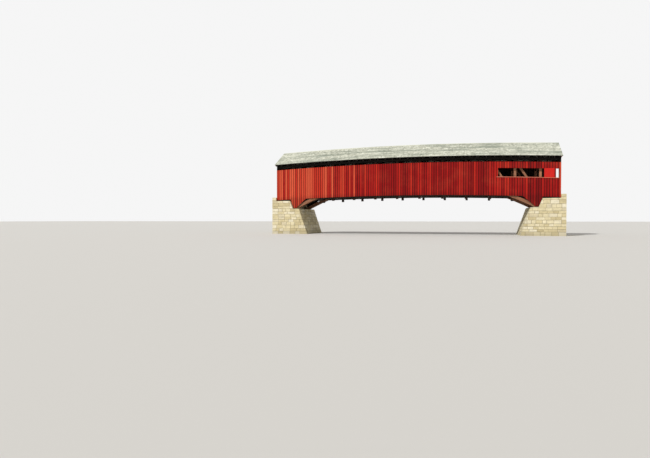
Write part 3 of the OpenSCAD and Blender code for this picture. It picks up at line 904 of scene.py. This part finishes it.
def shingleSlope(name, sign, seed):
    rng = np.random.default_rng(seed)
    rows = round(slopeLength / roof["exposure"])
    exposure = slopeLength / rows
    perRow = round(2 * roofEnd / roof["width"])
    # one wedge in (x, down, depth): thick at the butt, thin under the course above
    wedge = block(name, (0, 0, 0), (1, 1, 1))
    repeated(wedge, perRow, (2, 0, 0))
    repeated(wedge, rows, (0, 2, 0))
    unit = points(wedge)
    column = np.floor(unit[:, 0] / 2 + meshing["nudge"]).astype(int)
    row = np.floor(unit[:, 1] / 2 + meshing["nudge"]).astype(int)
    corner = np.round(unit - np.stack([column * 2, row * 2, np.zeros(len(unit))], 1))
    joints = np.tile(np.linspace(-roofEnd, roofEnd, perRow + 1), (rows, 1))
    joints[:, 1:-1] += rng.uniform(-roof["drift"], roof["drift"], (rows, perRow - 1)) * roof["width"]
    joints[1::2, 1:-1] += roof["width"] * roof["brokenBy"]
    left = joints[row, column] + roof["gap"] / 2
    right = joints[row, column + 1] - roof["gap"] / 2
    x = np.where(corner[:, 0] > 0.5, right, left)
    stagger = rng.uniform(0, roof["stagger"], (rows, perRow))[row, column]
    lift = rng.uniform(0, roof["lift"], (rows, perRow))[row, column]
    side = sign * roof["waveSide"]
    wave = np.array([noise.noise(Vector((a * roof["waveAlong"], b * roof["waveDown"], side)))
                     for a, b in zip(x, row)])
    butt = slopeLength - row * exposure - stagger - roof["wave"] * (wave + 1) * (row > 0)
    tail = np.maximum(butt - exposure - roof["lap"] * (row < rows - 1), roof["film"])
    down = np.where(corner[:, 1] > 0.5, butt, tail)
    top = roof["film"] + lift + (butt - down) / exposure * (roof["butt"] + roof["film"])
    lower = top + roof["butt"] - (butt - down) / (exposure + roof["lap"]) * roof["thinning"]
    depth = np.where(corner[:, 2] > 0.5, top, lower)
    setPoints(wedge, onSlope(x, down, np.minimum(depth, roof["under"]), sign))
    outwardFaces(wedge)
    shade = rng.beta(*roof["toneSpread"], (rows, perRow))[row, column]
    shift = rng.uniform(-pattern["shift"], pattern["shift"], (rows, perRow))[row, column]
    writeGrain(wedge, down, x + shift, depth, shade)
    return wedge


def roofSheet(name, sign, span, top, under, end):
    # a layer of the roof between two depths, from the ridge down to end, following the camber
    parts = roof["sheetParts"]
    sheet = block(name, (0, 0, 0), (1, 1, 1))
    repeated(sheet, parts, (1, 0, 0))
    editing(sheet)
    bpy.ops.mesh.remove_doubles(threshold=meshing["joinWeld"])
    bpy.ops.mesh.select_all(action="DESELECT")
    bpy.ops.mesh.select_interior_faces()
    bpy.ops.mesh.delete(type="FACE")
    edited()
    unit = points(sheet)
    x = -span + 2 * span * unit[:, 0] / parts
    down = np.where(unit[:, 1] > 0.5, end, 0.0)
    depth = np.where(unit[:, 2] > 0.5, top, under)
    setPoints(sheet, onSlope(x, down, depth, sign))
    outwardFaces(sheet)
    return sheet


for side, sign, seed in (("near", -1, 41), ("far", 1, 42)):
    courses = shingleSlope("shingles_" + side, sign, seed)
    backing = roofSheet("backing", sign, roofEnd - roof["backingIn"], roof["backing"], roof["under"],
                        slopeLength - roof["backingShort"])
    along = points(backing)
    tone = np.full(len(along), roof["backingTone"])
    writeGrain(backing, np.abs(along[:, 1]), along[:, 0], along[:, 2], tone)
    whole = joined([courses, backing], "shingles_" + side)
    done(whole, finishes["shingles"], "shingles", "roof_" + side)

comb = joined([roofSheet("comb", sign, roofEnd, 0.0, roof["combThick"], roof["combWidth"])
               for sign in (-1, 1)], "comb_boards")
timberGrain(comb, 61, (1, 0, 0))
done(comb, finishes["shingles"], "shingles")
print("roof shingled")


# Stone abutments

masonry = {
    "course": (0.27, 0.44),  # least and most height
    "length": (0.42, 0.92),
    "joint": 0.018,
    "wobble": 0.014,  # how unevenly the corners stand
    "edge": 0.022,
    "edgeAngle": 0.6,
    "shrink": (0.002, 0.014),  # opens the joints, each by its own amount
    "leastHalf": 0.05,  # thinner slivers shrink by no greater share than this half size does
    "recess": 0.026,  # how deep the mortar lies
    "keep": 0.62,  # blocks further than this from the solid's faces are left out
    "spare": 0.1,  # how far the outermost blocks reach past the solid before they are cut to it
    "foot": 0.03,  # points lower than this stay on the ground
    "mortarFoot": 0.1,  # and so do those of the mortar
    "atEdge": 1e-6,
    "mortarTone": 0.5,
}


def splits(rng, start, end, sizes):
    places = [start]
    while places[-1] < end - sizes[0]:
        places.append(places[-1] + rng.uniform(*sizes))
    places[-1] = end
    return places


def stoneCells(rng, solid, low, high):  # the blocks that reach the solid's faces
    cells = []
    levels = splits(rng, low.z, high.z, masonry["course"])
    for z0, z1 in zip(levels, levels[1:]):
        ys = splits(rng, low.y, high.y, masonry["length"])
        for y0, y1 in zip(ys, ys[1:]):
            xs = splits(rng, low.x, high.x, masonry["length"])
            for x0, x1 in zip(xs, xs[1:]):
                middle = Vector(((x0 + x1) / 2, (y0 + y1) / 2, (z0 + z1) / 2))
                place = solid.closest_point_on_mesh(middle)[1]
                if (place - middle).length < masonry["keep"]:
                    cells.append((x0, x1, y0, y1, z0, z1))
    return np.array(cells)


def blockCorners(rng, unit, cells, low, high):
    # where the corners of a row of unit cubes go, so that each fills its cell, a little unevenly
    which = np.floor(unit[:, 0] / 2 + meshing["nudge"]).astype(int)
    corner = np.round(unit - np.outer(which, (2, 0, 0))).astype(int)
    cells = cells[which]
    joint, spare = masonry["joint"] / 2, masonry["spare"]
    where = np.stack([np.where(corner[:, i] > 0, cells[:, 2 * i + 1] - joint, cells[:, 2 * i] + joint)
                      for i in range(3)], 1)
    for i in range(3):  # the outermost blocks reach past the solid, so that its own faces bound them
        first = (cells[:, 2 * i] <= low[i] + masonry["atEdge"]) & (corner[:, i] == 0)
        last = (cells[:, 2 * i + 1] >= high[i] - masonry["atEdge"]) & (corner[:, i] == 1)
        where[:, i] = np.where(first, low[i] - spare, where[:, i])
        where[:, i] = np.where(last, high[i] + spare, where[:, i])
    return where + rng.uniform(-0.5, 0.5, where.shape) * masonry["wobble"]


def drawnIn(rng, where, label, count):
    # each stone drawn in towards its middle by its own amount, its foot left on the ground
    middle = np.stack([np.bincount(label, where[:, i], count) / np.bincount(label, minlength=count)
                       for i in range(3)], 1)
    size = np.zeros((count, 3))
    np.maximum.at(size, label, np.abs(where - middle[label]))
    shrink = 1 - rng.uniform(*masonry["shrink"], (count, 3)) / np.maximum(size, masonry["leastHalf"])
    moved = middle[label] + (where - middle[label]) * shrink[label]
    moved[:, 2] = np.where(where[:, 2] < masonry["foot"], where[:, 2], moved[:, 2])
    return moved


def stoneAbutment(side, seed):
    rng = np.random.default_rng(seed)
    node = "abutment_" + side
    solid = nodeCopy(node, "solid")
    low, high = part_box(node)
    cells = stoneCells(rng, solid, low, high)
    stones = block("stones_" + side, (0, 0, 0), (1, 1, 1))
    repeated(stones, len(cells), (2, 0, 0))
    setPoints(stones, blockCorners(rng, points(stones), cells, low, high))
    core = nodeCopy(node, "mortar_" + side)
    cutTo(stones, solid)
    easedEdges(stones, masonry["edge"], masonry["edgeAngle"])
    editing(stones)
    bpy.ops.mesh.quads_convert_to_tris()
    edited()
    label = islands(stones)
    count = label.max() + 1
    moved = drawnIn(rng, points(stones), label, count)
    setPoints(stones, moved)
    shade = rng.uniform(size=count)
    writeGrain(stones, moved[:, 0], moved[:, 1], moved[:, 2], shade[label])
    done(stones, finishes["stone"], "stone", node)

    editing(core)
    bpy.ops.transform.shrink_fatten(value=-masonry["recess"], use_even_offset=True)
    edited()
    where = points(core)
    where[:, 2] = np.where(where[:, 2] < masonry["mortarFoot"], 0.0, where[:, 2])
    setPoints(core, where)
    tone = np.full(len(where), masonry["mortarTone"])
    writeGrain(core, where[:, 0], where[:, 1], where[:, 2], tone)
    done(core, finishes["mortar"], "stone")
    print("abutment", side, "built of", count, "stones")


stoneAbutment("left", 71)
stoneAbutment("right", 72)


# Floor, light and camera

stage = {
    "floor": "#CCC9C3",
    "floorSize": 900,
    "backdrop": 0.92,  # what the camera sees behind
    "sky": 0.48,  # what lights the bridge
    "sun": 2.85,
    "sunElevation": 43,  # degrees
    "sunAcross": -32,  # degrees, as are the next and the camera's tilt and turn
    "sunSoft": 3.0,
    "sunPlace": (-20, -40, 40),
}

clearSelection()
bpy.ops.mesh.primitive_plane_add(size=stage["floorSize"], location=(0, 0, 0))
ground = bpy.context.object
ground.name = "floor"
plain, tree = newFinish("plainFloor")
even = ranged(tree, mottle(tree, objectPlace(tree), 0.8, detail=3.0), 0.9, 0.95)
shader = addNode(tree, "ShaderNodeBsdfPrincipled", {"Base Color": colour(stage["floor"])},
                 {"Roughness": even})
addNode(tree, "ShaderNodeOutputMaterial", None, {"Surface": shader})
ground.data.materials.append(plain)

world = bpy.data.worlds.new("softSky")
bpy.context.scene.world = world
world.use_nodes = True
tree = world.node_tree
tree.nodes.clear()
rays = addNode(tree, "ShaderNodeLightPath")
seen = maths(tree, "MAXIMUM", (rays, "Is Camera Ray"), (rays, "Is Glossy Ray"))
seen = maths(tree, "MAXIMUM", seen, (rays, "Is Transmission Ray"))
light = addNode(tree, "ShaderNodeBackground", {"Color": (1, 1, 1, 1), "Strength": stage["sky"]})
shown = addNode(tree, "ShaderNodeBackground", {"Color": (1, 1, 1, 1), "Strength": stage["backdrop"]})
choice = addNode(tree, "ShaderNodeMixShader", None, {0: seen, 1: light, 2: shown})
addNode(tree, "ShaderNodeOutputWorld", None, {"Surface": choice})

clearSelection()
bpy.ops.object.light_add(type="SUN", location=stage["sunPlace"])
sun = bpy.context.object
sun.data.energy = stage["sun"]
sun.data.angle = math.radians(stage["sunSoft"])
sun.rotation_euler = (math.radians(90 - stage["sunElevation"]), 0, math.radians(stage["sunAcross"]))

shot = {
    "place": (7.47, -60.73, 1.71),
    "tilt": 88.95,
    "turn": 16.62,
    "lens": 28.02,
    "sensor": 36,
    "reach": 2000,
}
bpy.ops.object.camera_add(location=shot["place"],
                          rotation=(math.radians(shot["tilt"]), 0, math.radians(shot["turn"])))
camera = bpy.context.object
camera.data.lens = shot["lens"]
camera.data.sensor_width = shot["sensor"]
camera.data.clip_end = shot["reach"]
bpy.context.scene.camera = camera
bpy.context.scene.view_settings.view_transform = "Standard"
print("lit and framed")
